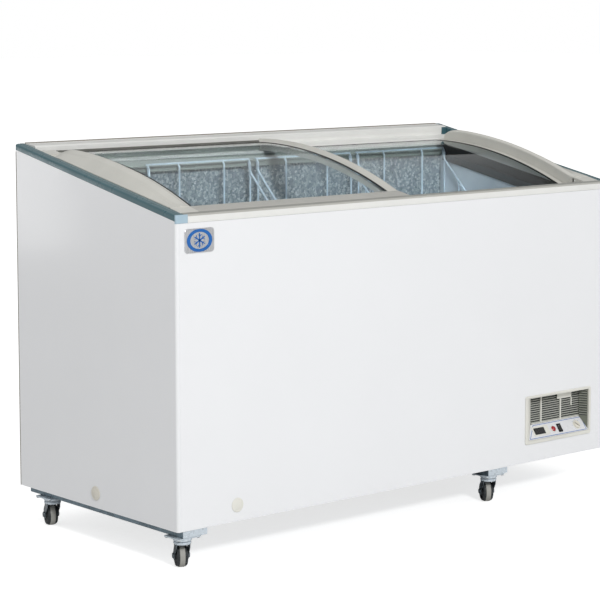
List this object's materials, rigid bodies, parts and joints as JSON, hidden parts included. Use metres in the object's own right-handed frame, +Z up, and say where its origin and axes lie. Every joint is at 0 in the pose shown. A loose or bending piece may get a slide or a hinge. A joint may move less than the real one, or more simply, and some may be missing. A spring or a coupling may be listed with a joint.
{
  "type": "chest freezer",
  "caption": "Shop display chest freezer with a sloped top, curved sliding glass lids, hanging wire baskets and swivel casters.",
  "frame": {"origin": "middle of the footprint, on the floor", "axes": "+X along the front towards the console, +Y towards the back, +Z up; the front faces -Y"},
  "size_m": [1.356, 0.606, 0.875],
  "materials": {
    "white_paint": "smooth white baked enamel",
    "teal_trim": "glossy blue-teal extrusion",
    "corner_grey": "pale blue-grey moulding",
    "beige_frame": "warm light grey moulding, satin gloss",
    "track_grey": "grey sliding track extrusion",
    "rail_white": "off-white ribbed extrusion",
    "black_plastic": "black plastic",
    "collar_grey": "smooth grey-green breaker strip",
    "embossed_aluminium": "stucco-embossed sheet",
    "foam": null,
    "galvanised_steel": "spangled zinc coating",
    "zinc_plate": "bright zinc plating",
    "coated_wire": "pale blue-white plastic coating on wire",
    "bezel_beige": "light beige moulding",
    "console_white": "white printed panel with a thin blue outline",
    "lamp_red": "translucent red lens",
    "compressor_black": "black enamel",
    "wheel_rubber": "black wheel with a worn grey tread band",
    "plug_beige": "beige moulding",
    "badge_silver": "brushed silver plate with a plain blue frost emblem",
    "lid_glass": "clear curved glass"
  },
  "bodies": {
    "cabinet": {"front_panel": "white_paint", "left_side_panel": "white_paint", "right_side_panel": "white_paint", "back_panel": "white_paint", "right_grille": "white_paint", "base_panel": "galvanised_steel", "left_base_channel": "galvanised_steel", "right_base_channel": "galvanised_steel", "left_side_trim": "teal_trim", "right_side_trim": "teal_trim", "left_inner_trim": "teal_trim", "right_inner_trim": "teal_trim", "left_corner_cap": "corner_grey", "right_corner_cap": "corner_grey", "insulation": "foam", "inner_liner": "embossed_aluminium", "front_collar": "collar_grey", "back_collar": "collar_grey", "left_track_seal": "black_plastic", "right_track_seal": "black_plastic", "thermometer_display": "black_plastic", "rear_grille": "black_plastic", "cord_gland": "black_plastic", "fan_motor": "black_plastic", "front_rail": "rail_white", "back_rail": "rail_white", "front_track": "track_grey", "left_end_cap": "beige_frame", "right_end_cap": "beige_frame", "vent_frame": "bezel_beige", "vent_grille": "bezel_beige", "console_panel": "console_white", "indicator_lamp": "lamp_red", "badge_plate": "badge_silver", "compressor": "compressor_black", "condenser": "zinc_plate", "front_left_caster_plate": "zinc_plate", "back_left_caster_plate": "zinc_plate", "front_right_caster_plate": "zinc_plate", "back_right_caster_plate": "zinc_plate"},
    "left_lid": {"left_lid_frame": "beige_frame", "left_lid_glass": "lid_glass"},
    "right_lid": {"right_lid_frame": "beige_frame", "right_lid_glass": "lid_glass"},
    "left_hanging_basket": {"left_basket": "coated_wire"},
    "middle_hanging_basket": {"middle_basket": "coated_wire"},
    "right_hanging_basket": {"right_basket": "coated_wire"},
    "power_rocker": {"power_switch": "black_plastic"},
    "thermostat": {"thermostat_knob": "plug_beige"},
    "front_plug": {"front_drain_plug": "plug_beige"},
    "side_plug": {"side_drain_plug": "plug_beige"},
    "fan": {"fan_blade": "badge_silver"},
    "front_left_swivel": {"front_left_caster_fork": "zinc_plate"},
    "front_left_roller": {"front_left_caster_wheel": "wheel_rubber"},
    "back_left_swivel": {"back_left_caster_fork": "zinc_plate"},
    "back_left_roller": {"back_left_caster_wheel": "wheel_rubber"},
    "front_right_swivel": {"front_right_caster_fork": "zinc_plate"},
    "front_right_roller": {"front_right_caster_wheel": "wheel_rubber"},
    "back_right_swivel": {"back_right_caster_fork": "zinc_plate"},
    "back_right_roller": {"back_right_caster_wheel": "wheel_rubber"}
  },
  "joints": [
    {"name": "left_lid_slide", "type": "slide", "parent": "cabinet", "child": "left_lid", "axis": [1, 0, 0], "range_m": [0, 0.588]},
    {"name": "right_lid_slide", "type": "slide", "parent": "cabinet", "child": "right_lid", "axis": [1, 0, 0], "range_m": [-0.588, 0]},
    {"name": "left_basket_slide", "type": "slide", "parent": "cabinet", "child": "left_hanging_basket", "axis": [1, 0, 0], "range_m": [-0.215, 0]},
    {"name": "middle_basket_slide", "type": "slide", "parent": "cabinet", "child": "middle_hanging_basket", "axis": [1, 0, 0], "range_m": [-0.018, 0]},
    {"name": "right_basket_slide", "type": "slide", "parent": "cabinet", "child": "right_hanging_basket", "axis": [1, 0, 0], "range_m": [-0.018, 0]},
    {"name": "power_switch_rock", "type": "hinge", "parent": "cabinet", "child": "power_rocker", "pos_m": [0.513, -0.29038, 0.15355], "axis": [1, 0, 0], "range_deg": [0, 16]},
    {"name": "thermostat_turn", "type": "hinge", "parent": "cabinet", "child": "thermostat", "pos_m": [0.575, -0.29038, 0.15355], "axis": [0, -0.8189, 0.574], "range_deg": [-270, 0]},
    {"name": "front_plug_pull", "type": "slide", "parent": "cabinet", "child": "front_plug", "axis": [0, -1, 0], "range_m": [0, 0.016]},
    {"name": "side_plug_pull", "type": "slide", "parent": "cabinet", "child": "side_plug", "axis": [-1, 0, 0], "range_m": [0, 0.016]},
    {"name": "fan_spin", "type": "hinge", "parent": "cabinet", "child": "fan", "pos_m": [0.495, -0.158, 0.205], "axis": [0, 1, 0], "continuous": true},
    {"name": "front_left_caster_swivel", "type": "hinge", "parent": "cabinet", "child": "front_left_swivel", "pos_m": [-0.648, -0.279, 0.057], "axis": [0, 0, 1], "continuous": true},
    {"name": "front_left_caster_roll", "type": "hinge", "parent": "front_left_swivel", "child": "front_left_roller", "pos_m": [-0.63983, -0.26296, 0.025], "axis": [0.891, -0.454, 0], "continuous": true},
    {"name": "back_left_caster_swivel", "type": "hinge", "parent": "cabinet", "child": "back_left_swivel", "pos_m": [-0.65, 0.207, 0.057], "axis": [0, 0, 1], "continuous": true},
    {"name": "back_left_caster_roll", "type": "hinge", "parent": "back_left_swivel", "child": "back_left_roller", "pos_m": [-0.64384, 0.22391, 0.025], "axis": [0.9397, -0.342, 0], "continuous": true},
    {"name": "front_right_caster_swivel", "type": "hinge", "parent": "cabinet", "child": "front_right_swivel", "pos_m": [0.276, -0.279, 0.057], "axis": [0, 0, 1], "continuous": true},
    {"name": "front_right_caster_roll", "type": "hinge", "parent": "front_right_swivel", "child": "front_right_roller", "pos_m": [0.285, -0.26341, 0.025], "axis": [0.866, -0.5, 0], "continuous": true},
    {"name": "back_right_caster_swivel", "type": "hinge", "parent": "cabinet", "child": "back_right_swivel", "pos_m": [0.276, 0.207, 0.057], "axis": [0, 0, 1], "continuous": true},
    {"name": "back_right_caster_roll", "type": "hinge", "parent": "back_right_swivel", "child": "back_right_roller", "pos_m": [0.27974, 0.22461, 0.025], "axis": [0.9781, -0.2079, 0], "continuous": true}
  ]
}
